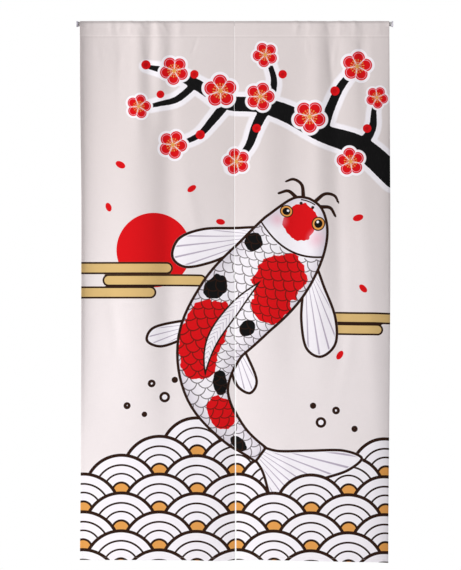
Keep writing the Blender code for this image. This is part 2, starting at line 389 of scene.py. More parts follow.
# How far each panel bows to the front between its edges, and how its edges curl
SHAPE_COLUMNS = ("top_bow", "foot_bow", "left_curl", "right_curl")
SHAPE_ROWS = {
    "panel_left": (0.0010, 0.0090, 0.0052, -0.0030),
    "panel_right": (0.0010, 0.0080, -0.0032, -0.0095),
}
CURL_LENGTH = 0.019
CURL_SETTLED = 0.45
TOP_CURL_LENGTH = 0.034
TOP_CURL_SHARE = 1.75
TOP_CURL_END = 0.40
RIGHT_CURL_LENGTH = 0.030
RIGHT_CURL_AT_TOP = 0.45
RIGHT_ROLL = -0.0012
RIGHT_ROLL_LENGTH = 0.0045
EDGE_ROLL = 0.0037
EDGE_ROLL_LENGTH = 0.0140
SLIT_CURL_LENGTH = 0.034
SLIT_CURL_AT_TOP = 0.35
FRONT_CURL_FADING = 0.85
FRONT_CURL_END = 1.25

# Short puckers of the casing, where the cloth is pushed together on the rod: place,
# half width and height
PUCKER_ROWS = (
    (-0.401, 0.0060, 0.0003),
    (-0.340, 0.0070, 0.0005),
    (-0.318, 0.0060, 0.0004),
    (-0.288, 0.0062, 0.0009),
    (-0.243, 0.0060, 0.0007),
    (-0.214, 0.0065, 0.0008),
    (-0.152, 0.0075, 0.0008),
    (0.062, 0.0080, 0.0003),
    (0.170, 0.0066, 0.0010),
    (0.206, 0.0066, 0.0006),
    (0.258, 0.0080, -0.0005),
    (0.290, 0.0064, 0.0010),
    (0.331, 0.0062, 0.0009),
    (0.398, 0.0070, 0.0005),
)

# Creases, soft straight ridges and troughs: place and level on the cloth of one end and
# of the other, half width and height
CREASE_ROWS = (
    (-0.265, 0.002, -0.243, 0.042, 0.0045, 0.0009),
    (-0.205, 0.002, -0.181, 0.042, 0.0045, 0.0009),
    (-0.282, 0.002, -0.276, 0.022, 0.0035, 0.0007),
    (-0.312, 0.004, -0.322, 0.036, 0.0040, 0.0007),
    (-0.222, 0.002, -0.212, 0.024, 0.0035, 0.0006),
    (-0.345, 0.004, -0.341, 0.034, 0.0045, 0.0005),
    (0.179, 0.002, 0.172, 0.032, 0.0040, 0.0006),
    (0.252, 0.002, 0.262, 0.046, 0.0060, -0.0008),
    (0.299, 0.002, 0.304, 0.034, 0.0038, 0.0008),
    (0.328, 0.002, 0.350, 0.044, 0.0065, 0.0005),
    (0.206, 0.003, 0.212, 0.028, 0.0036, 0.0005),
    (0.078, 0.004, 0.072, 0.034, 0.0045, 0.0003),
    (-0.100, 0.038, -0.121, 0.100, 0.0026, -0.0009),
    (-0.262, 0.050, -0.247, 0.150, 0.0070, 0.0006),
    (-0.226, 0.050, -0.240, 0.128, 0.0065, -0.0005),
    (-0.186, 0.048, -0.204, 0.142, 0.0065, 0.0005),
    (-0.300, 0.050, -0.322, 0.138, 0.0090, -0.0004),
    (-0.382, 0.050, -0.374, 0.132, 0.0090, 0.0003),
    (0.256, 0.040, 0.272, 0.210, 0.0075, -0.0014),
    (0.282, 0.050, 0.272, 0.140, 0.0052, 0.0008),
    (0.346, 0.046, 0.351, 0.160, 0.0075, -0.0009),
    (0.196, 0.048, 0.206, 0.110, 0.0055, 0.0006),
    (0.372, 0.052, 0.384, 0.128, 0.0090, 0.0003),
    (-0.140, 0.420, -0.094, 0.640, 0.0160, 0.0010),
    (0.060, 0.520, 0.112, 0.760, 0.0170, -0.0010),
    (-0.352, 0.700, -0.322, 0.960, 0.0180, -0.0011),
    (0.320, 0.840, 0.286, 1.080, 0.0170, 0.0010),
    (-0.080, 1.080, -0.120, 1.330, 0.0200, -0.0011),
    (0.120, 1.150, 0.160, 1.380, 0.0200, 0.0010),
)


def smooth_step(low, high, value):
    """Rise from 0 at low to 1 at high with level ends."""
    share = np.clip((value - low) / (high - low), 0.0, 1.0)
    return share * share * (3.0 - 2.0 * share)


def soft_most(first, second):
    """The larger of two values with a rounded change, (a + b + sqrt((a - b)^2 + soft^2)) / 2."""
    return (first + second + np.sqrt((first - second) ** 2 + CLEARANCE_SOFT ** 2)) / 2


def smooth_curve(value, knots, heights):
    """Read a table between its rows on cubic pieces that share the neighbours' slopes."""
    slopes = np.gradient(heights, knots)
    piece = np.clip(np.searchsorted(knots, value, side="right") - 1, 0, len(knots) - 2)
    span = knots[piece + 1] - knots[piece]
    t = np.clip((value - knots[piece]) / span, 0.0, 1.0)
    from_first = heights[piece] * (2.0 * t - 3.0) * t * t + heights[piece]
    from_second = heights[piece + 1] * (3.0 - 2.0 * t) * t * t
    first_slope = slopes[piece] * span * t * (1.0 - t) ** 2
    second_slope = slopes[piece + 1] * span * (t - 1.0) * t * t
    return from_first + from_second + first_slope + second_slope


def edge_at(name, drop):
    """A side of the curtain, or a measure of its slit, at the given drops."""
    columns = dict(zip(EDGE_COLUMNS, np.array(EDGE_ROWS).T))
    return smooth_curve(drop, columns["drop"], columns[name])


def hem_drop_at(across):
    """Drop of the bottom edge at the given places across the curtain."""
    return smooth_curve(across, *np.array(HEM_ROWS).T)


def panel_sides(name, drop):
    """Left and right edge of a panel at the given drops."""
    middle = edge_at("slit_middle", drop)
    half_gap = edge_at("slit_gap", drop) / 2
    if name == "panel_left":
        return edge_at("left_edge", drop), middle - half_gap
    return middle + half_gap, edge_at("right_edge", drop)


def fold_relief(across, drop):
    """Sum of ridges and troughs that lean and fade, each height * exp(-(offset / half width)^2)."""
    relief = 0.0
    for top, foot, half_width, height, start, full, fading, end in FOLD_ROWS:
        offset = (across - top - (foot - top) * drop / FULL_DROP) / half_width
        strength = smooth_step(start, full, drop) * (1.0 - smooth_step(fading, end, drop))
        relief = relief + height * strength * np.exp(-offset ** 2)
    return relief


def panel_relief(name, across, drop):
    """The folds, the panel's forward bow, which is a parabola across it, and its edges' curls.

    A curl is height * exp(-distance from the edge / length).
    """
    shape = dict(zip(SHAPE_COLUMNS, SHAPE_ROWS[name]))
    left, right = panel_sides(name, drop)
    from_left, from_right = across - left, right - across
    share = from_left / (right - left)
    bow = shape["top_bow"] + (shape["foot_bow"] - shape["top_bow"]) * drop / FULL_DROP
    settled = smooth_step(STITCH_DROP, CURL_SETTLED, drop)
    at_slit = SLIT_CURL_AT_TOP + (1.0 - SLIT_CURL_AT_TOP) * settled
    if name == "panel_left":
        near_top = 1.0 - smooth_step(STITCH_DROP, TOP_CURL_END, drop)
        curl_length = CURL_LENGTH + (TOP_CURL_LENGTH - CURL_LENGTH) * near_top
        left_curl = shape["left_curl"] * (1.0 + (TOP_CURL_SHARE - 1.0) * near_top)
        left_curl = left_curl * np.exp(-from_left / curl_length)
        left_curl = left_curl + EDGE_ROLL * np.exp(-from_left / EDGE_ROLL_LENGTH)
        left_curl = left_curl * (1.0 - smooth_step(FRONT_CURL_FADING, FRONT_CURL_END, drop))
        right_curl = shape["right_curl"] * at_slit * np.exp(-from_right / SLIT_CURL_LENGTH)
    else:
        left_curl = shape["left_curl"] * at_slit * np.exp(-from_left / SLIT_CURL_LENGTH)
        at_top = RIGHT_CURL_AT_TOP + (1.0 - RIGHT_CURL_AT_TOP) * settled
        right_curl = shape["right_curl"] * np.exp(-from_right / RIGHT_CURL_LENGTH)
        right_curl = right_curl + RIGHT_ROLL * np.exp(-from_right / RIGHT_ROLL_LENGTH)
        right_curl = at_top * right_curl
    return fold_relief(across, drop) + bow * 4.0 * share * (1.0 - share) + left_curl + right_curl


def casing_puckers(across, down):
    """Bell-shaped puckers that push the front of the casing out below the rod."""
    relief = sum(
        height * np.exp(-((across - middle) / half_width) ** 2)
        for middle, half_width, height in PUCKER_ROWS)
    return relief * smooth_step(*PUCKER_GROWS, down) * (1.0 - smooth_step(*PUCKER_FADES, down))


def crease_relief(across, down):
    """Soft creases: a bell across a straight line, tapered to nothing at its two ends."""
    relief = 0.0
    for from_across, from_down, to_across, to_down, half_width, height in CREASE_ROWS:
        run_across, run_down = to_across - from_across, to_down - from_down
        length = math.hypot(run_across, run_down)
        run_across, run_down = run_across / length, run_down / length
        first, second = across - from_across, down - from_down
        along = (first * run_across + second * run_down) / length
        beside = (first * run_down - second * run_across) / half_width
        taper = np.clip(1.0 - (2.0 * along - 1.0) ** 2, 0.0, 1.0)
        relief = relief + height * taper * np.exp(-beside ** 2)
    return relief


def sewn_relief(across, down, from_side):
    """Dent of the casing's seam, and waves along it and the sides, uneven by a second sine."""
    from_seam = down - stitch_down
    dent = -SEAM_DENT * np.exp(-(from_seam / SEAM_DENT_WIDTH) ** 2)
    wave = np.sin(across * 2 * math.pi / SEAM_WAVE_LENGTH + 1.4 * np.sin(across * 41.0))
    dent = dent + SEAM_WAVE * wave * np.exp(-np.abs(from_seam) / SEAM_WAVE_REACH) * (down > 0.0)
    wave = np.sin(down * 2 * math.pi / SIDE_WAVE_LENGTH + 1.7 * np.sin(down * 23.0))
    wave = SIDE_WAVE * wave * np.exp(-from_side / SIDE_WAVE_REACH)
    return dent + wave * smooth_step(*SIDE_WAVE_GROWS, down)


def casing_profile():
    """Depth, height and length so far of the cloth, from the crest down the casing's front."""
    angle = np.linspace(0.0, math.pi / 2, CREST_STEPS)
    crest = np.clip(1.0 - angle / CASING_CREST_ANGLE, 0.0, 1.0) ** CASING_CREST_POWER
    reach = CASING_RADIUS + CASING_CREST * crest
    rise = np.linspace(0.0, 1.0, CASING_STEPS)[1:]
    depth = np.concatenate([
        reach * np.sin(angle), CASING_RADIUS * (1.0 - rise ** CASING_SIDE_POWER)])
    height = np.concatenate([reach * np.cos(angle), -STITCH_DROP * rise])
    length = np.concatenate([[0.0], np.cumsum(np.hypot(np.diff(depth), np.diff(height)))])
    return depth, height, length


casing_depth, casing_height, casing_length = casing_profile()
stitch_down = casing_length[-1]


def panel_sheet(name):
    """A panel's middle surface on a grid, with each point's place on the flat cloth.

    Rows run from the end of the flap up the back of the casing, over the rod, down
    its front and on to the bottom edge. Columns run from the left edge to the right.
    """
    top_left, top_right = panel_sides(name, 0.0)
    share = np.linspace(0.0, 1.0, PANEL_COLUMNS - 2)
    share = share - COLUMN_PULL * np.sin(2 * math.pi * share) / (2 * math.pi)
    share = np.concatenate([[0.0, RIM_SHARE], share[1:-1], [1.0 - RIM_SHARE, 1.0]])
    flap = np.array([FLAP_PAST_STITCHES, FLAP_PAST_STITCHES / 2])
    body = np.concatenate([np.linspace(0.0, 1.0, BODY_ROWS)[1:-1], [1.0 - RIM_SHARE / 3, 1.0]])
    body = body * (FULL_DROP - STITCH_DROP)
    down = np.concatenate([
        -stitch_down - flap, -casing_length[:0:-1], casing_length, stitch_down + body])
    depth = np.concatenate([
        [0.0, 0.0], casing_depth[:0:-1], -casing_depth, np.zeros(BODY_ROWS)])
    height = np.concatenate([
        -STITCH_DROP - flap, casing_height[:0:-1], casing_height, -STITCH_DROP - body])
    drop = np.maximum(-height, 0.0)[:, None]
    left, right = panel_sides(name, drop)
    across = left + (right - left) * share[None, :]
    reach = smooth_step(STITCH_DROP, FULL_DROP, drop)
    drop = np.where(drop > STITCH_DROP, drop + (hem_drop_at(across) - FULL_DROP) * reach, drop)
    flat_across = np.broadcast_to(top_left + (top_right - top_left) * share, across.shape)
    flat_down = np.broadcast_to(down[:, None], across.shape)
    from_side = np.minimum(share, 1.0 - share) * (top_right - top_left)
    front = flat_down > 0.0
    at_back = smooth_step(LAP_STARTS_AT * STITCH_DROP, STITCH_DROP, drop)
    lap = LAP_HALF * at_back * (1.0 - smooth_step(*LAP_FADES, drop))
    at_front = FOLD_AT_CREST * smooth_step(*FOLD_GROWS_AT_CREST, flat_down)
    at_front = at_front + (1.0 - FOLD_AT_CREST) * smooth_step(*FOLD_GROWS_BELOW, flat_down)
    slack = CASING_SLACK * smooth_step(*SLACK_GROWS, flat_down)
    slack = slack * (1.0 - smooth_step(SLACK_FADES_FROM, stitch_down, flat_down))
    forward = panel_relief(name, across, np.maximum(drop, STITCH_DROP))
    forward = forward * np.where(front, at_front, at_back)
    forward = forward + np.where(front, lap + slack, -lap * 2.0)
    forward = forward + np.where(front, casing_puckers(flat_across, flat_down), 0.0)
    forward = forward + crease_relief(flat_across, flat_down)
    forward = forward + sewn_relief(flat_across, flat_down, from_side)
    lowest = -FRONT_OF_ROD - PAST_ROD * smooth_step(ROD_RADIUS, 3 * ROD_RADIUS, drop)
    lowest = np.where(drop > STITCH_DROP, -1.0, lowest)
    forward = np.where(front, soft_most(forward, lowest), forward)
    ripple = casing_puckers(flat_across, PUCKER_GROWS[1]) - CREST_RIPPLE_LOW
    crest = CREST_RIPPLE * ripple * np.exp(-(flat_down / CREST_RIPPLE_LENGTH) ** 2)
    level = np.where(drop > 0.0, -drop, height[:, None]) + crest
    points = np.stack([across, depth[:, None] - forward, level], axis=-1)
    bottom = stitch_down + FULL_DROP - STITCH_DROP
    from_edge = np.minimum(np.broadcast_to(from_side, across.shape), bottom - flat_down)
    hem = 1.0 - smooth_step(HEM_WIDTH - HEM_STEP, HEM_WIDTH, from_edge)
    hem = hem * smooth_step(stitch_down, stitch_down + HEM_GROWS, flat_down)
    half = CLOTH_HALF + (HEM_HALF - CLOTH_HALF) * hem
    return points, half, flat_across, flat_down


def cloth_normals(points):
    """Unit normals of a grid of points that face the front of the cloth."""
    down_run = np.gradient(points, axis=0)
    across_run = np.gradient(points, axis=1)
    normal = np.cross(across_run, -down_run)
    return normal / np.linalg.norm(normal, axis=-1, keepdims=True)


def panel_faces(rows, columns):
    """Quads of a closed sheet. Each row is a ring: its front to the right, its back to the left."""
    index = np.arange(rows * columns * 2).reshape(rows, columns * 2)
    ring = ring_faces(rows, columns * 2)
    front, back = index[:, :columns], index[:, :columns - 1:-1]
    start = np.stack([front[0, :-1], back[0, :-1], back[0, 1:], front[0, 1:]], axis=-1)
    end = np.stack([front[-1, :-1], front[-1, 1:], back[-1, 1:], back[-1, :-1]], axis=-1)
    return np.concatenate([ring[:, ::-1], start[:, ::-1], end[:, ::-1]])


# Printed picture. Pigment printed on the outside of the cloth in flat colours: an inked
# plum branch above, and below it a white koi that climbs out of a field of round waves.
# It runs on from panel to panel, and shows through paler on the back.
MM = 0.001

# Everything in mm on the flat cloth. Strokes: places across and down with half widths.
# Blossoms: place, radius and turn. Buds, the sun and drops of spray: place and radius.
# Petals: place, two half lengths and turn. Mist bars: two ends with their half width.
BRANCH_STROKES = (
    ((440, 432, 34), (345, 352, 30), (238, 312, 25), (150, 262, 25), (70, 236, 21),
     (-22, 228, 20), (-90, 188, 16), (-160, 150, 13), (-246, 128, 5)),
    ((238, 312, 17), (262, 246, 13), (292, 184, 11), (338, 128, 7)),
    ((86, 240, 15), (58, 296, 13), (36, 352, 10), (-12, 410, 6)),
    ((-20, 226, 13), (-62, 278, 11), (-104, 322, 8), (-176, 352, 5)),
    ((92, 240, 11), (108, 176, 9), (98, 128, 7), (82, 96, 5)),
    ((-110, 178, 10), (-158, 218, 9), (-206, 232, 7), (-262, 244, 4)),
    ((345, 352, 15), (378, 300, 11), (384, 246, 7), (398, 204, 5)),
)
BLOSSOM_ROWS = (
    (206, 268, 45, 0.3),
    (338, 128, 42, 1.1),
    (392, 214, 31, 0.2),
    (318, 392, 39, 0.8),
    (84, 96, 35, 0.5),
    (70, 212, 40, 0.0),
    (-40, 196, 46, 0.9),
    (-168, 140, 40, 0.4),
    (-266, 240, 34, 1.2),
    (-172, 346, 40, 0.1),
    (4, 392, 37, 0.7),
)
BUD_ROWS = (
    (-246, 124, 13),
    (-112, 150, 12),
    (132, 150, 12),
    (276, 196, 13),
    (60, 300, 12),
    (-96, 318, 13),
    (-206, 206, 11),
    (364, 300, 12),
)
PETAL_ROWS = (
    (-318, 402, 15, 9, 0.5),
    (-120, 468, 14, 8, -0.6),
    (-352, 520, 13, 8, 1.2),
    (338, 548, 15, 9, -0.3),
    (352, 744, 14, 8, 0.8),
    (-40, 560, 13, 8, 0.2),
    (288, 930, 14, 8, -1.0),
)
SUN = (-226, 640, 104)
MIST_BARS = (
    ((-440, 690, 17), (-190, 690, 17)),
    ((-352, 724, 17), (-96, 724, 17)),
    ((-440, 758, 17), (-236, 758, 17)),
    ((210, 826, 16), (440, 826, 16)),
    ((266, 858, 16), (392, 858, 16)),
)

# The koi: places of its spine, distances from the nose with half widths, and fins given
# by their place on the spine, side, root, step between rays and outline from that place
KOI_SPINE = (
    (206, 492), (166, 590), (96, 696), (2, 796), (-70, 906), (-78, 1036), (-8, 1148), (94, 1230))
KOI_SPINE_STEPS = 34
STROKE_STEPS = 8
SHORT_STEPS = 6
KOI_WIDTHS = (
    (0, 0), (4, 22), (14, 42), (36, 62), (74, 84), (130, 103), (220, 118), (320, 122), (430, 110),
    (540, 87), (640, 62), (740, 42), (820, 31), (870, 28))
PECTORAL_FIN = (
    (-34, 84), (8, 150), (60, 222), (122, 264), (178, 250), (182, 200), (128, 146), (66, 108),
    (20, 84))
PELVIC_FIN = ((-20, 66), (16, 124), (58, 166), (98, 162), (96, 118), (54, 76), (20, 58))
TAIL_FIN = (
    (-30, 16), (24, 40), (92, 92), (170, 152), (228, 166), (218, 112), (178, 52), (150, 6),
    (180, -46), (224, -108), (232, -160), (170, -150), (88, -88), (24, -38), (-30, -16))
FIN_ROWS = (
    (178, 1, -20, 62, 0.115, PECTORAL_FIN),
    (178, -1, -20, 62, 0.115, PECTORAL_FIN),
    (476, 1, -24, 40, 0.13, PELVIC_FIN),
    (476, -1, -24, 40, 0.13, PELVIC_FIN),
    (872, 1, -70, 0, 0.115, TAIL_FIN),
)

# Barbels and round patches along the koi's spine, and drops of spray on the cloth
BARBELS = (
    ((4, 18, 5.5), (-24, 34, 4.5), (-30, 60, 4), (-16, 78, 3)),
    ((14, 36, 5.5), (6, 62, 4.5), (22, 84, 3.5)),
)
DROP_ROWS = (
    (-196, 1050, 15), (-232, 1012, 11), (-168, 1002, 9), (236, 1118, 15), (278, 1084, 11),
    (214, 1072, 9), (-300, 1074, 10), (330, 1134, 9), (-252, 1098, 8))
RED_PATCHES = (
    (74, 0, 50, 46), (236, 34, 74, 66), (300, 66, 60, 52), (470, -34, 88, 62), (548, -20, 50, 52),
    (702, 10, 52, 36))
BLACK_PATCHES = (
    (196, -84, 30, 24), (366, -78, 34, 30), (400, 62, 26, 20), (612, 40, 44, 20),
    (800, -12, 26, 14))


def smooth_path(points, steps, closed=False):
    """Curve through points, in cubic pieces. Each slope is half the step between neighbours."""
    points = np.asarray(points, dtype=float)
    if closed:
        ends = np.concatenate([points[-1:], points, points[:2]])
    else:
        ends = np.concatenate([[2 * points[0] - points[1]], points, [2 * points[-1] - points[-2]]])
    piece = np.repeat(np.arange(len(ends) - 3), steps)
    t = np.tile(np.linspace(0.0, 1.0, steps, endpoint=False), len(ends) - 3)[:, None]
    a, b, c, d = (ends[piece + k] for k in range(4))
    curve = b + 0.5 * t * (c - a + t * (2 * a - 5 * b + 4 * c - d + t * (3 * b - a - 3 * c + d)))
    return np.concatenate([curve, curve[:1] if closed else points[-1:]])


def stroke_distance(places, path):
    """Distance to a brush stroke: the least over its pieces of distance to it - half width."""
    least = np.full(len(places), np.inf)
    for start, end in zip(path[:-1], path[1:]):
        run = end[:2] - start[:2]
        from_start = places - start[:2]
        share = np.clip(from_start @ run / (run @ run), 0.0, 1.0)
        gap = np.hypot(from_start[:, 0] - share * run[0], from_start[:, 1] - share * run[1])
        least = np.minimum(least, gap - start[2] - share * (end[2] - start[2]))
    return least


def outline_distance(places, outline):
    """Distance to a closed outline, negative where a level ray crosses it an odd count of times."""
    edge = stroke_distance(places, np.column_stack([outline, np.zeros(len(outline))]))
    odd = np.zeros(len(places), dtype=bool)
    for start, end in zip(outline[:-1], outline[1:]):
        spans = (start[1] > places[:, 1]) != (end[1] > places[:, 1])
        if spans.any():
            meets = start[0] + (places[:, 1] - start[1]) * (end[0] - start[0]) / (end[1] - start[1])
            odd ^= spans & (places[:, 0] < meets)
    return np.where(odd, -edge, edge)


def disc_distance(places, rows):
    """Distance to the nearest of some discs, each given by its centre and radius."""
    return np.min([np.hypot(*(places - row[:2]).T) - row[2] for row in rows], axis=0)


def petal_distance(places):
    """Distance, near enough, to the nearest fallen petal, a turned ellipse of two half lengths."""
    least = np.full(len(places), np.inf)
    for across, down, long_half, short_half, turn in PETAL_ROWS:
        first, second = places[:, 0] - across, places[:, 1] - down
        along = first * math.cos(turn) + second * math.sin(turn)
        beside = second * math.cos(turn) - first * math.sin(turn)
        reach = np.hypot(along / long_half, beside / short_half)
        least = np.minimum(least, (reach - 1.0) * short_half)
    return least


def koi_spine():
    """Points a few mm apart down the koi's spine, how far along they are, and its way there."""
    spine = smooth_path(KOI_SPINE, KOI_SPINE_STEPS)
    step = np.diff(spine, axis=0)
    length = np.concatenate([[0.0], np.cumsum(np.hypot(*step.T))])
    way = np.gradient(spine, length, axis=0)
    return spine, length, way / np.linalg.norm(way, axis=1, keepdims=True)


def koi_frame(station):
    """Place on the spine at distances from the nose, and the directions along and beside it."""
    spine, length, way = koi_spine()
    middle = np.stack([np.interp(station, length, spine[:, k]) for k in range(2)], axis=-1)
    along = np.stack([np.interp(station, length, way[:, k]) for k in range(2)], axis=-1)
    return middle, along, np.stack([along[..., 1], -along[..., 0]], axis=-1)


def spine_places(places):
    """Distance along the koi's spine and to its side, from its nearest point and its bend there."""
    spine, length, way = koi_spine()
    gap = np.hypot(*(places[:, None] - spine[None]).transpose(2, 0, 1))
    near = gap.argmin(axis=1)
    offset = places - spine[near]
    turn = np.gradient(np.unwrap(np.arctan2(way[:, 1], way[:, 0])), length)[near]
    beside = offset[:, 0] * way[near, 1] - offset[:, 1] * way[near, 0]
    along = (offset * way[near]).sum(axis=1) / np.clip(1.0 + turn * beside, 0.3, 3.0)
    return length[near] + along, beside


def koi_outline():
    """The koi's body: its half widths laid off to both sides of the spine."""
    widths = smooth_path(KOI_WIDTHS, SHORT_STEPS)
    middle, _, beside = koi_frame(widths[:, 0])
    right = middle + beside * widths[:, 1:]
    left = middle - beside * widths[:, 1:]
    return np.concatenate([right, left[::-1]])


def fin_fields(places):
    """Distance to the nearest fin, barbel or drop of spray, and the number of the fin's ray."""
    least = disc_distance(places, DROP_ROWS)
    rays = np.zeros(len(places))
    for station, side, root_along, root_beside, step, outline in FIN_ROWS:
        middle, along, beside = koi_frame(station)
        beside = beside * side
        outline = [middle + along * a + beside * b for a, b in outline]
        gap = outline_distance(places, smooth_path(outline, STROKE_STEPS, closed=True))
        first = (places - middle) @ along - root_along
        second = (places - middle) @ beside - root_beside
        rays = np.where(gap < least, np.arctan2(second, first) / step, rays)
        least = np.minimum(least, gap)
    middle, along, beside = koi_frame(0.0)
    for barbel in BARBELS:
        for side in (1, -1):
            path = [[*(middle + along * a + beside * b * side), half] for a, b, half in barbel]
            least = np.minimum(least, stroke_distance(places, smooth_path(path, SHORT_STEPS)))
    return least, rays


def blossom_fields(places):
    """Place in the nearest plum blossom, in its radii and turned with it, and the reach there."""
    nearest = np.full(len(places), np.inf)
    first, second = np.zeros(len(places)), np.zeros(len(places))
    for across, down, radius, turn in BLOSSOM_ROWS:
        u, w = (places[:, 0] - across) / radius, (places[:, 1] - down) / radius
        reach = np.hypot(u, w)
        closer = reach < nearest
        first = np.where(closer, u * math.cos(turn) + w * math.sin(turn), first)
        second = np.where(closer, w * math.cos(turn) - u * math.sin(turn), second)
        nearest = np.minimum(nearest, reach)
    return first, second, nearest


def patch_distance(along, beside, rows):
    """Nearness to the koi's patches of one colour, ellipses along its spine: inside is under 0."""
    reaches = [np.hypot((along - a) / p, (beside - b) / q) for a, b, p, q in rows]
    return np.min(reaches, axis=0) - 1.0


def picture_fields(flat_across, flat_down):
    """All that the print needs at each place of the cloth, by name, distances in metres."""
    places = np.stack([flat_across.ravel(), flat_down.ravel()], axis=1) / MM
    strokes = [smooth_path(stroke, STROKE_STEPS) for stroke in BRANCH_STROKES]
    branch = np.min([stroke_distance(places, stroke) for stroke in strokes], axis=0)
    mist = np.min([stroke_distance(places, bar) for bar in np.array(MIST_BARS, float)], axis=0)
    small = np.minimum(disc_distance(places, BUD_ROWS), petal_distance(places))
    along, beside = spine_places(places)
    body = outline_distance(places, koi_outline())
    fins, rays = fin_fields(places)
    red = patch_distance(along, beside, RED_PATCHES)
    black = patch_distance(along, beside, BLACK_PATCHES)
    fields = {
        "print_distances": (branch * MM, mist * MM, small * MM),
        "koi_place": (along * MM, beside * MM, body * MM),
        "koi_fins": (fins * MM, rays, red),
        "koi_black": (black, np.zeros_like(black), np.zeros_like(black)),
        "blossom_place": blossom_fields(places),
    }
    shape = (*flat_across.shape, 3)
    return {name: np.stack(values, axis=-1).reshape(shape) for name, values in fields.items()}


def both_sides(front, back):
    """Values on the rings of a closed sheet: the front's, then the back's from right to left."""
    return np.concatenate([front, back[:, ::-1]], axis=1)


def give_attribute(piece, name, values):
    """Store one vector for each vertex of a piece under a name."""
    attribute = piece.data.attributes.new(name, "FLOAT_VECTOR", "POINT")
    attribute.data.foreach_set("vector", values.astype(np.float32).ravel())


def make_panel(name, node, material):
    """A panel as a closed sheet, half its thickness to each side of its middle surface."""
    points, half, flat_across, flat_down = panel_sheet(node)
    normals = cloth_normals(points)
    offset = normals * half[..., None]
    skin = both_sides(points + offset, points - offset)
    piece = new_piece(name, skin, panel_faces(*half.shape).tolist(), material)
    place = np.stack([flat_across, flat_down, np.ones_like(half)], axis=-1)
    give_attribute(piece, "place", both_sides(place, place * (1.0, 1.0, 0.0)))
    for field, values in picture_fields(flat_across, flat_down).items():
        give_attribute(piece, field, both_sides(values, values))
    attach(piece, "root")
    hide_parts(node)
    return piece, (points, normals, half, flat_across[0], flat_down[:, 0])


# Cloth finish. The colours of the print lie flat on the weave of uneven threads, which
# takes no shine. The ground is a warm pale beige, painted paler lower down as light,
# and the back is the same cloth bare.
GROUND_BEIGE = (0.728, 0.656, 0.648, 1.0)
# The paler beige of the lower ground, which is painted light
GROUND_BEIGE_PAINTED_LIGHT = (0.812, 0.745, 0.748, 1.0)
PRINT_WHITE = (0.890, 0.850, 0.895, 1.0)
PRINT_BROWN = (0.026, 0.0091, 0.0048, 1.0)
PRINT_INK = (0.0045, 0.0042, 0.0045, 1.0)
PRINT_INK_DRY = (0.0085, 0.0078, 0.0082, 1.0)
PRINT_RED = (0.66, 0.0045, 0.0075, 1.0)
PRINT_RED_DEEP = (0.50, 0.0035, 0.0060, 1.0)
PRINT_GOLD = (0.73, 0.328, 0.08, 1.0)
PRINT_GOLD_PALE = (0.665, 0.451, 0.181, 1.0)
PRINT_PINK = (0.83, 0.40, 0.50, 1.0)
PRINT_LILAC = (0.46, 0.40, 0.49, 1.0)
KOI_SHADE = (0.6965, 0.6475, 0.71275, 1.0)

# Lines, halos and soft edges of the print, and the share of it that shows on the back
PRINT_SOFT = 0.00035
BACK_SHOW = 0.32
OUTLINE_WIDTH = 0.0075
HALO_WIDTH = 0.0140
HALO_SOFT = 0.0032
BUD_RIM = 0.0070
BUD_SOFT = 0.0012
MIST_EDGE = 0.0050

# Round waves: their rings and middles are distances from the middle, in radii
WAVE_RADIUS = 0.105
WAVE_SPACING = 0.0525
WAVE_CREST = 1.236
WAVE_SWELL = 0.068
WAVE_SWELL_RATE = 11.0
WAVE_SWELL_START = 2.9
WAVE_RINGS = ((0.915, 1.05), (0.672, 0.722), (0.445, 0.492))
WAVE_MIDDLE = 0.205
WAVE_MIDDLE_EDGE = 0.262
WAVE_SOFT = 0.004
FRONT_WAVES = 1.352

# The koi's scales: each has a dark rim, given in radii
KOI_SCALE_RADIUS = 0.0225
KOI_SCALE_SPACING = 0.0150
KOI_SCALE_RIM = (0.875, 1.05)
KOI_SCALE_SOFT = 0.02
KOI_SCALE_STRENGTH = 0.80
KOI_SCALES_FROM_GILL = 0.006

# Plum blossoms, in their own radii: five petals with a pale shine, and fifteen stamens
PETAL_TURN = 2 * math.pi / 5
STAMEN_TURN = 2 * math.pi / 15
PETAL_MIDDLE = 0.565
PETAL_RADIUS = 0.425
PETAL_SOFT = 0.008
PETAL_SHINE = (-0.115, -0.085)
PETAL_PARTING_HALF = 0.018
BLOSSOM_HALO = 0.17
BLOSSOM_HEART = 0.13
BLOSSOM_REACH = 1.2
STAMEN_HALF = 0.017
STAMEN_ENDS = (0.10, 0.40)
STAMEN_TIP = 0.43
STAMEN_TIP_RADIUS = 0.042

# Fins, shade, gill edge, blush and lips of the koi, from its nose and its middle line.
# Rays are given as shares of the step from one ray to the next.
BACK_FIN_MIDDLE = 0.430
BACK_FIN_HALF_LENGTH = 0.150
BACK_FIN_HALF_WIDTH = 0.0175
BACK_FIN_LINE_HALF = 0.0024
BACK_RAY_SLANT = 1.5
BACK_RAY_STEP = 0.015
BACK_RAY = (0.40, 0.58)
BACK_RAY_SOFT = 0.03
FIN_RAY_HALF = 0.085
FIN_RAY_SOFT = 0.02
FIN_RAY_MARGIN = 0.010
RAY_END_SOFT = 0.002
KOI_SHADE_REACH = 0.028
PATCH_SOFT = 0.012
GILL_PLACE = 0.158
GILL_BEND = 3.2
GILL_HALF = 0.0028
BLUSH_PLACE = (0.096, 0.060)
BLUSH_RADIUS = 0.016
BLUSH_SOFT = 0.020
BLUSH_STRENGTH = 0.6
LIPS = (0.0105, 0.0140)
LIPS_BEND = 6.0
LIPS_HALF_WIDTH = 0.021
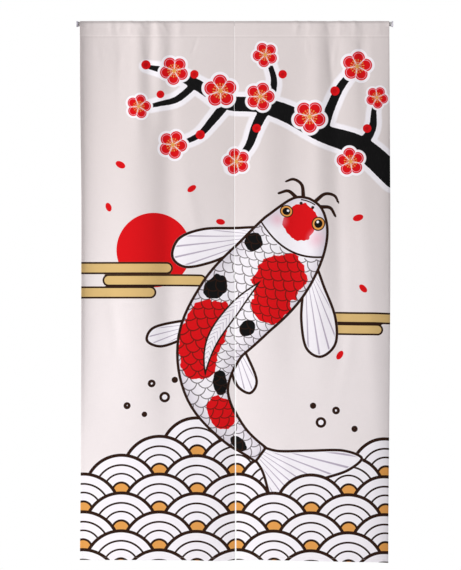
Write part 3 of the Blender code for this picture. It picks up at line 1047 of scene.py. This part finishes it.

# The weave, and how uneven its threads, the brush's edge and the patches' edges are, as
# noise scales across and down and strengths. A painted highlight lies just above the
# casing's seam and painted shade just below it.
WEAVE_PITCH = 0.0009
WEAVE_DEPTH = 0.00009
WEAVE_SHARE = 0.35
SLUB_ACROSS_SCALES = (46.0, 900.0)
SLUB_DOWN_SCALES = (900.0, 46.0)
SLUB_TINT = 0.055
CLOUD_SCALES = (9.0, 7.0)
CLOUD_TINT = 0.05
BRUSH_EDGE_SCALES = (120.0, 120.0)
BRUSH_EDGE_REACH = 0.0022
BRUSH_DRY_UNDER = (0.42, 0.05)
PATCH_EDGE_SCALES = (34.0, 34.0)
PATCH_EDGE_REACH = 0.55
# Drop below which the ground is painted paler as light, and the softness of that change
GROUND_PAINTED_LIGHT_FROM = (0.63, 0.37)
# Bands of painted highlight above the casing's seam and painted shade below it, and their strengths
SEAM_LIGHT = (-0.0042, -0.0010, 0.0008)
PAINTED_SEAM_HIGHLIGHT = 0.055
SEAM_SHADE = (0.0004, 0.0042, 0.0010)
PAINTED_SEAM_SHADE = 0.045

# Round spots on the koi's head, from its nose and its middle line: the rings of its eyes,
# their glint, and its nostrils
KOI_SPOTS = (
    (0.060, 0.047, 0.0185, PRINT_BROWN),
    (0.060, 0.047, 0.0155, PRINT_GOLD),
    (0.060, 0.047, 0.0110, PRINT_INK),
    (0.0565, 0.0435, 0.0034, PRINT_WHITE),
    (0.024, 0.017, 0.0044, PRINT_BROWN),
)


def stored_numbers(pen, name):
    """The three numbers stored under a name on the piece."""
    made = pen.node("ShaderNodeAttribute", {"attribute_name": name})
    return split(Value(pen.tree, made.outputs["Vector"]))


def band(value, low, high, soft=PRINT_SOFT):
    """1 where a value lies between two edges, across soft steps."""
    return value.below(high, soft) * (1.0 - value.below(low, soft))


def length_of(first, second):
    """Length of a flat vector: the root of the sum of its squares."""
    return (first * first + second * second).math("SQRT")


def round_scales(across, down, radius, spacing, crest=None):
    """Discs in staggered rows, each row over the one above it.

    Of the four rows that can reach a place, the last whose disc holds it is the one
    seen. Gives the distance from that disc's middle in radii, the height of its row,
    and 1 where there is a disc. Discs whose middle is above the crest are left out.
    """
    last_row = ((down + radius) / spacing).math("FLOOR")
    discs = []
    for behind in (3.0, 2.0, 1.0, 0.0):
        row = last_row - behind
        shift = row.math("FLOORED_MODULO", 2.0) * radius
        offset = (across - shift + radius).math("FLOORED_MODULO", 2 * radius) - radius
        here = length_of(offset, down - row * spacing) / radius
        inside = here.math("LESS_THAN", 1.0)
        if crest is not None:
            inside = inside * (row * spacing - crest(across - offset)).math("GREATER_THAN", 0.0)
        discs.append((here, row * spacing, inside))
    reach, level, covered = discs[0]
    for here, height, inside in discs[1:]:
        reach = reach + inside * (here - reach)
        level = level + inside * (height - level)
        covered = covered.math("MAXIMUM", inside)
    return reach, level, covered


def wave_crest(middle):
    """Height above which a wave disc is left out: a level, and a slow swell across the curtain."""
    return WAVE_CREST - WAVE_SWELL * (middle * WAVE_SWELL_RATE + WAVE_SWELL_START).math("SINE")


def lay(colour, *layers):
    """Paints laid over a colour one after another, each where its mask is 1."""
    for mask, paint in layers:
        colour = mask.mix(colour, paint)
    return colour


def paint_ground(colour, across, down, mist):
    """Sun and mist bars over the bare ground."""
    sun = length_of(across - SUN[0] * MM, down - SUN[1] * MM)
    return lay(
        colour,
        (sun.below(SUN[2] * MM, PRINT_SOFT), PRINT_RED),
        (mist.below(0.0, PRINT_SOFT), PRINT_GOLD_PALE),
        (band(mist, -MIST_EDGE, 0.0), PRINT_BROWN))


def paint_waves(colour, reach, covered):
    """Round waves: a broad brown rim, two thin brown rings and a gold middle on white."""
    rings = [(covered * band(reach, *ring, WAVE_SOFT), PRINT_BROWN) for ring in WAVE_RINGS]
    return lay(
        colour, (covered, PRINT_WHITE), *rings,
        (covered * reach.below(WAVE_MIDDLE_EDGE, WAVE_SOFT), PRINT_BROWN),
        (covered * reach.below(WAVE_MIDDLE, WAVE_SOFT), PRINT_GOLD))


def paint_fins(colour, fins, rays):
    """Fins and spray: white, with thin lilac rays and a brown outline."""
    ray = (rays.math("FRACT") - 0.5).math("ABSOLUTE").below(FIN_RAY_HALF, FIN_RAY_SOFT)
    ray = ray * fins.below(-FIN_RAY_MARGIN, RAY_END_SOFT)
    ray = ray * rays.math("ABSOLUTE").math("GREATER_THAN", 0.0)
    return lay(
        colour, (fins.below(0.0, PRINT_SOFT), PRINT_WHITE), (ray, PRINT_LILAC),
        (band(fins, -OUTLINE_WIDTH, 0.0), PRINT_BROWN))


def paint_head(colour, along, beside, gill):
    """The koi's head: blush, gill edge, eyes ringed in gold, nostrils and lips."""
    side = beside.math("ABSOLUTE")
    blush = length_of(along - BLUSH_PLACE[0], side - BLUSH_PLACE[1])
    blush = blush.below(BLUSH_RADIUS, BLUSH_SOFT) * BLUSH_STRENGTH
    spots = [
        (length_of(along - from_nose, side - from_middle).below(radius, PRINT_SOFT), paint)
        for from_nose, from_middle, radius, paint in KOI_SPOTS]
    lips = band(along - LIPS_BEND * beside * beside, *LIPS)
    lips = lips * side.below(LIPS_HALF_WIDTH, PRINT_SOFT)
    return lay(
        colour, (blush, PRINT_PINK), (band(gill, -GILL_HALF, GILL_HALF), PRINT_BROWN),
        *spots, (lips, PRINT_BROWN))


def paint_koi(colour, koi, red, black, wobble):
    """The koi's body: red and black patches on white, scales, head, back fin and outline."""
    along, beside, edge = koi
    side = beside.math("ABSOLUTE")
    gill = along + GILL_BEND * beside * beside - GILL_PLACE
    body = lay(
        edge.below(-KOI_SHADE_REACH, KOI_SHADE_REACH).mix(KOI_SHADE, PRINT_WHITE),
        ((red + wobble).below(0.0, PATCH_SOFT), PRINT_RED),
        ((black + wobble).below(0.0, PATCH_SOFT), PRINT_INK))
    body = paint_head(body, along, beside, gill)
    scale_reach = round_scales(beside, -along, KOI_SCALE_RADIUS, KOI_SCALE_SPACING)[0]
    behind_gill = 1.0 - gill.below(KOI_SCALES_FROM_GILL, 0.001)
    scaled = behind_gill * band(scale_reach, *KOI_SCALE_RIM, KOI_SCALE_SOFT)
    share = (along - BACK_FIN_MIDDLE) / BACK_FIN_HALF_LENGTH
    leaf = side - (1.0 - share * share) * BACK_FIN_HALF_WIDTH
    slant = ((along - side * BACK_RAY_SLANT) / BACK_RAY_STEP).math("FRACT")
    ray = leaf.below(-RAY_END_SOFT, PRINT_SOFT) * band(slant, *BACK_RAY, BACK_RAY_SOFT)
    body = lay(
        body,
        (scaled * KOI_SCALE_STRENGTH, PRINT_BROWN),
        (leaf.below(0.0, PRINT_SOFT), PRINT_WHITE),
        (ray, PRINT_LILAC),
        (band(leaf, -BACK_FIN_LINE_HALF, BACK_FIN_LINE_HALF), PRINT_BROWN),
        (band(edge, -OUTLINE_WIDTH, 0.01), PRINT_BROWN))
    return edge.below(0.0, PRINT_SOFT).mix(colour, body)


def paint_branch(colour, branch, small, dry):
    """The inked branch in its pale halo, greyer where the brush ran dry, with buds and petals."""
    return lay(
        colour,
        (branch.below(HALO_WIDTH, HALO_SOFT), PRINT_WHITE),
        (branch.below(0.0, PRINT_SOFT), dry.mix(PRINT_INK, PRINT_INK_DRY)),
        (small.below(0.0, PRINT_SOFT), PRINT_RED),
        (small.below(-BUD_RIM, BUD_SOFT), PRINT_RED_DEEP))


def paint_blossoms(colour, first, second, nearest):
    """Plum blossoms: five round red petals parted by pale lines, a halo, and gold stamens."""
    reach = length_of(first, second)
    angle = second.math("ARCTAN2", first) + math.pi
    fifth = angle.math("FLOORED_MODULO", PETAL_TURN) - PETAL_TURN / 2
    petal = length_of(reach * fifth.math("COSINE") - PETAL_MIDDLE, reach * fifth.math("SINE"))
    petal = petal - PETAL_RADIUS
    in_petal = petal.below(0.0, PETAL_SOFT)
    parting = (PETAL_TURN / 2 - fifth.math("ABSOLUTE")) * reach
    spoke = (angle.math("FLOORED_MODULO", STAMEN_TURN) - STAMEN_TURN / 2) * reach
    thread = spoke.math("ABSOLUTE").below(STAMEN_HALF, 0.006) * band(reach, *STAMEN_ENDS, 0.01)
    layers = (
        (petal.below(BLOSSOM_HALO, 0.02), PRINT_WHITE),
        (in_petal, PRINT_RED),
        (band(petal, *PETAL_SHINE, PETAL_SOFT), PRINT_PINK),
        (parting.below(PETAL_PARTING_HALF, PETAL_SOFT) * in_petal, PRINT_WHITE),
        (thread, PRINT_GOLD),
        (length_of(reach - STAMEN_TIP, spoke).below(STAMEN_TIP_RADIUS, PETAL_SOFT), PRINT_GOLD),
        (reach.below(BLOSSOM_HEART, 0.01), PRINT_GOLD))
    near = nearest.math("LESS_THAN", BLOSSOM_REACH)
    return lay(colour, *((near * mask, paint) for mask, paint in layers))


def stretched_noise(pen, across, down, scale_across, scale_down, detail=2.0):
    """Noise on the flat cloth with its own scale across and down."""
    point = pen.node("ShaderNodeCombineXYZ", X=across * scale_across, Y=down * scale_down, Z=0.0)
    return noise(pen, Value(pen.tree, point.outputs[0]), 1.0, detail)


cloth_material, shader, pen = new_material("printed_cloth")
across, down, outside = stored_numbers(pen, "place")
branch, mist, small = stored_numbers(pen, "print_distances")
fins, rays, red = stored_numbers(pen, "koi_fins")
koi = stored_numbers(pen, "koi_place")
black = stored_numbers(pen, "koi_black")[0]
brush_edge = stretched_noise(pen, across, down, *BRUSH_EDGE_SCALES, 3.0)
paint_edge = (brush_edge - 0.5) * BRUSH_EDGE_REACH
patch_edge = stretched_noise(pen, across, down, *PATCH_EDGE_SCALES)
wobble = (patch_edge - 0.5) * PATCH_EDGE_REACH
slub_across = stretched_noise(pen, across, down, *SLUB_ACROSS_SCALES)
slub_down = stretched_noise(pen, across, down, *SLUB_DOWN_SCALES)
cloudy = stretched_noise(pen, across, down, *CLOUD_SCALES)
wave_reach, wave_level, wave_covered = round_scales(
    across, down, WAVE_RADIUS, WAVE_SPACING, wave_crest)
front_covered = wave_covered * (wave_level - FRONT_WAVES).math("GREATER_THAN", 0.0)
# Painted light: the beige ground turns paler below a drop of about 0.63 m
ground = (1.0 - down.below(*GROUND_PAINTED_LIGHT_FROM)).mix(GROUND_BEIGE, GROUND_BEIGE_PAINTED_LIGHT)
picture = paint_ground(ground, across, down, mist)
picture = paint_waves(picture, wave_reach, wave_covered)
picture = paint_fins(picture, fins, rays)
picture = paint_koi(picture, koi, red, black, wobble)
picture = paint_waves(picture, wave_reach, front_covered)
dry = slub_down.below(*BRUSH_DRY_UNDER)
picture = paint_branch(picture, branch + paint_edge, small, dry)
picture = paint_blossoms(picture, *stored_numbers(pen, "blossom_place"))
through = (outside * (1.0 - BACK_SHOW) + BACK_SHOW).mix(ground, picture)
seam = down - stitch_down
# Painted highlight in a band just above the casing's seam, painted shade just below it
seam_painted_highlight = band(seam, *SEAM_LIGHT) * PAINTED_SEAM_HIGHLIGHT
seam_painted_shade = band(seam, *SEAM_SHADE) * PAINTED_SEAM_SHADE
# Uneven threads and cloudiness, with the seam's painted highlight and shade, scale the print's
# colour
threads = (slub_across - 0.5) * SLUB_TINT + (slub_down - 0.5) * SLUB_TINT
threads = threads + (cloudy - 0.5) * CLOUD_TINT + seam_painted_highlight - seam_painted_shade + 1.0
dyed_and_seam_shaded = pen.node("ShaderNodeVectorMath", {"operation": "SCALE"}, _0=through, Scale=threads)
link(Value(pen.tree, dyed_and_seam_shaded.outputs[0]), shader.inputs["Base Color"])
weave = (across * (2 * math.pi / WEAVE_PITCH)).math("SINE")
weave = weave * (down * (2 * math.pi / WEAVE_PITCH)).math("SINE")
uneven = weave * WEAVE_SHARE + slub_across + slub_down
link(bump(pen, uneven, WEAVE_DEPTH), shader.inputs["Normal"])
link(0.84 + cloudy * 0.12, shader.inputs["Roughness"])
shader.inputs["Specular IOR Level"].default_value = 0.10
shader.inputs["Sheen Weight"].default_value = 0.02
shader.inputs["Sheen Roughness"].default_value = 0.5
cloth_left, left_grid = make_panel("cloth_left", "panel_left", cloth_material)
cloth_right, right_grid = make_panel("cloth_right", "panel_right", cloth_material)


# Stitches. Rows of lockstitch hold the casing and the bottom hem. The side hems are blind
# stitched, so that their thread shows on the back alone. It is beige polyester, half sunk.
THREAD_RADIUS = 0.00022
STITCH_PITCH = 0.0033
STITCH_HALF_LENGTH = 0.00125
STITCH_SIDES = 5
STITCH_RUN = (-1.0, -0.62, 0.0, 0.62, 1.0)
STITCH_THICKNESS = (0.35, 0.92, 1.0, 0.92, 0.35)
STITCH_ARCH = (0.55, 0.9)
SEAM_FROM_EDGE = 0.0080
CASING_SEAM_INSET = 0.0030
THREAD_BEIGE = (0.66, 0.575, 0.54, 1.0)
THREAD_BEIGE_LIGHT = (0.78, 0.70, 0.67, 1.0)


def read_grid(grid, rows_at, columns_at):
    """Values between the points of a grid, by straight mixing of the four nearest."""
    row = np.clip(np.floor(rows_at).astype(int), 0, grid.shape[0] - 2)
    column = np.clip(np.floor(columns_at).astype(int), 0, grid.shape[1] - 2)
    row_share = (rows_at - row).reshape(-1, *[1] * (grid.ndim - 2))
    column_share = (columns_at - column).reshape(-1, *[1] * (grid.ndim - 2))
    upper, lower = (
        grid[r, column] * (1 - column_share) + grid[r, column + 1] * column_share
        for r in (row, row + 1))
    return upper * (1 - row_share) + lower * row_share


def seam_places(grid):
    """Middles and directions of the stitches on the flat cloth: casing, two sides and bottom."""
    across, down = grid[3], grid[4]
    left, right, bottom = across[0], across[-1], down[-1]
    level = np.arange(left + SEAM_FROM_EDGE, right - SEAM_FROM_EDGE, STITCH_PITCH)
    casing = np.arange(left + CASING_SEAM_INSET, right - CASING_SEAM_INSET, STITCH_PITCH)
    upright = np.arange(stitch_down + SEAM_FROM_EDGE, bottom - SEAM_FROM_EDGE, STITCH_PITCH)
    places = [np.column_stack(np.broadcast_arrays(*line)) for line in (
        (casing, stitch_down), (left + SEAM_FROM_EDGE, upright),
        (right - SEAM_FROM_EDGE, upright), (level, bottom - SEAM_FROM_EDGE))]
    ways = [(1.0, 0.0), (0.0, 1.0), (0.0, 1.0), (1.0, 0.0)]
    return np.concatenate(places), np.repeat(ways, [len(line) for line in places], axis=0)


def stitch_row(grid, places, ways, outside):
    """Stitches on one side of the cloth: each a short arched thread, thinner at its ends."""
    points, normals, half, across, down = grid
    ends = []
    for sign in (-1.0, 0.0, 1.0):
        moved = places + ways * sign * STITCH_HALF_LENGTH
        rows_at = np.interp(moved[:, 1], down, np.arange(len(down)))
        columns_at = np.interp(moved[:, 0], across, np.arange(len(across)))
        lift = outside * read_grid(normals, rows_at, columns_at)
        from_middle = lift * read_grid(half, rows_at, columns_at)[:, None]
        ends.append(read_grid(points, rows_at, columns_at) + from_middle)
    along = ends[2] - ends[0]
    along = along / np.linalg.norm(along, axis=1, keepdims=True)
    beside = np.cross(lift, along)
    run = np.array(STITCH_RUN)
    thick = np.array(STITCH_THICKNESS) * THREAD_RADIUS
    arch = THREAD_RADIUS * (STITCH_ARCH[0] - STITCH_ARCH[1] * run ** 2)
    turn = np.linspace(0.0, 2 * math.pi, STITCH_SIDES, endpoint=False)
    spread = thick[:, None] * np.cos(turn)
    height = arch[:, None] + thick[:, None] * np.sin(turn)
    middle, along, beside, lift = (way[:, None, None] for way in (ends[1], along, beside, lift))
    middle = middle + along * run[:, None, None] * STITCH_HALF_LENGTH
    return middle + beside * spread[..., None] + lift * height[..., None]


def make_stitches(name, node, grid, material):
    """All stitches of a panel in one mesh: each is rings of points, closed at both ends."""
    places, ways = seam_places(grid)
    in_casing = places[:, 1] < stitch_down + 0.0001
    back_places = np.where(in_casing[:, None], places * (1.0, -1.0), places)
    level = ways[:, 0] > 0.5
    threads = np.concatenate([
        stitch_row(grid, places[level], ways[level], 1.0),
        stitch_row(grid, back_places[in_casing], ways[in_casing], 1.0),
        stitch_row(grid, places[~in_casing], ways[~in_casing], -1.0)])
    rings = threads.shape[1]
    body = ring_faces(rings, STITCH_SIDES)
    first = np.arange(len(threads))[:, None] * rings * STITCH_SIDES
    sides = (first[:, :, None] + body[None]).reshape(-1, 4)
    near = first + np.arange(STITCH_SIDES)[::-1]
    far = first + (rings - 1) * STITCH_SIDES + np.arange(STITCH_SIDES)
    faces = sides.tolist() + near.tolist() + far.tolist()
    piece = new_piece(name, threads, faces, material)
    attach(piece, "root")
    node + "_cloth"
    return piece


thread_material, shader, pen = new_material("hem_thread")
point = object_point(pen)
link(noise(pen, point, 900.0).mix(THREAD_BEIGE, THREAD_BEIGE_LIGHT), shader.inputs["Base Color"])
link(bump(pen, noise(pen, point, 5000.0), 0.00004), shader.inputs["Normal"])
shader.inputs["Roughness"].default_value = 0.62
for name, node, piece, grid in (
        ("stitches_left", "panel_left", cloth_left, left_grid),
        ("stitches_right", "panel_right", cloth_right, right_grid)):
    stitches = make_stitches(name, node, grid, thread_material)
    flat_width = grid[3][-1] - grid[3][0]


# Floor, daylight and camera. A plain pale floor below the curtain, even studio
# light that comes mostly from the front left, and a long lens straight in front.
FLOOR_LEVEL = -1.95
FLOOR_RADIUS = 2.5
FLOOR_SIDES = 96
FLOOR_PALE = (0.80, 0.80, 0.80, 1.0)
DAYLIGHT = (0.25, 0.25, 0.255, 1.0)
DAYLIGHT_SEEN = (1.0, 1.0, 1.0, 1.0)
LIGHT_SIZE = 2.4
LIGHT_AIM = (0.0, 0.0, -0.75)
LIGHT_ROWS = (
    ("key_front_left", (-6.2, -3.3, 0.2), 555.0),
    ("fill_front_right", (3.2, -4.2, 0.4), 57.0),
    ("fill_behind", (3.6, 3.6, 0.4), 240.0),
)
CURTAIN_CENTRE = (-0.0119, 0.0, -0.7218)
CAMERA_DISTANCE = 7.0
CAMERA_LENS = 159.8
CAMERA_REACH = 100.0

floor_material, shader, pen = new_material("studio_floor")
shader.inputs["Base Color"].default_value = FLOOR_PALE
shader.inputs["Roughness"].default_value = 0.8
turn = np.linspace(0.0, 2 * math.pi, FLOOR_SIDES, endpoint=False)
floor_points = np.stack([
    FLOOR_RADIUS * np.cos(turn), FLOOR_RADIUS * np.sin(turn), np.full_like(turn, FLOOR_LEVEL)],
    axis=1)
new_piece("studio_floor", floor_points, [list(range(FLOOR_SIDES))], floor_material)

world = bpy.data.worlds.new("daylight")
bpy.context.scene.world = world
world.use_nodes = True
pen = Value(world.node_tree, None)
seen_directly = Value(pen.tree, pen.node("ShaderNodeLightPath").outputs["Is Camera Ray"])
link(seen_directly.mix(DAYLIGHT, DAYLIGHT_SEEN), pen.tree.nodes["Background"].inputs["Color"])

for name, place, power in LIGHT_ROWS:
    lamp = bpy.data.lights.new(name, "AREA")
    lamp.size = LIGHT_SIZE
    lamp.energy = power
    light = new_object(name, lamp)
    light.location = place
    light.rotation_euler = (Vector(LIGHT_AIM) - Vector(place)).to_track_quat("-Z", "Y").to_euler()

lens = bpy.data.cameras.new("camera")
lens.lens = CAMERA_LENS
lens.clip_end = CAMERA_REACH
camera = new_object("camera", lens)
camera.location = (CURTAIN_CENTRE[0], -CAMERA_DISTANCE, CURTAIN_CENTRE[2])
camera.rotation_euler = (math.pi / 2, 0.0, 0.0)
bpy.context.scene.camera = camera
bpy.context.scene.view_settings.view_transform = "Standard"
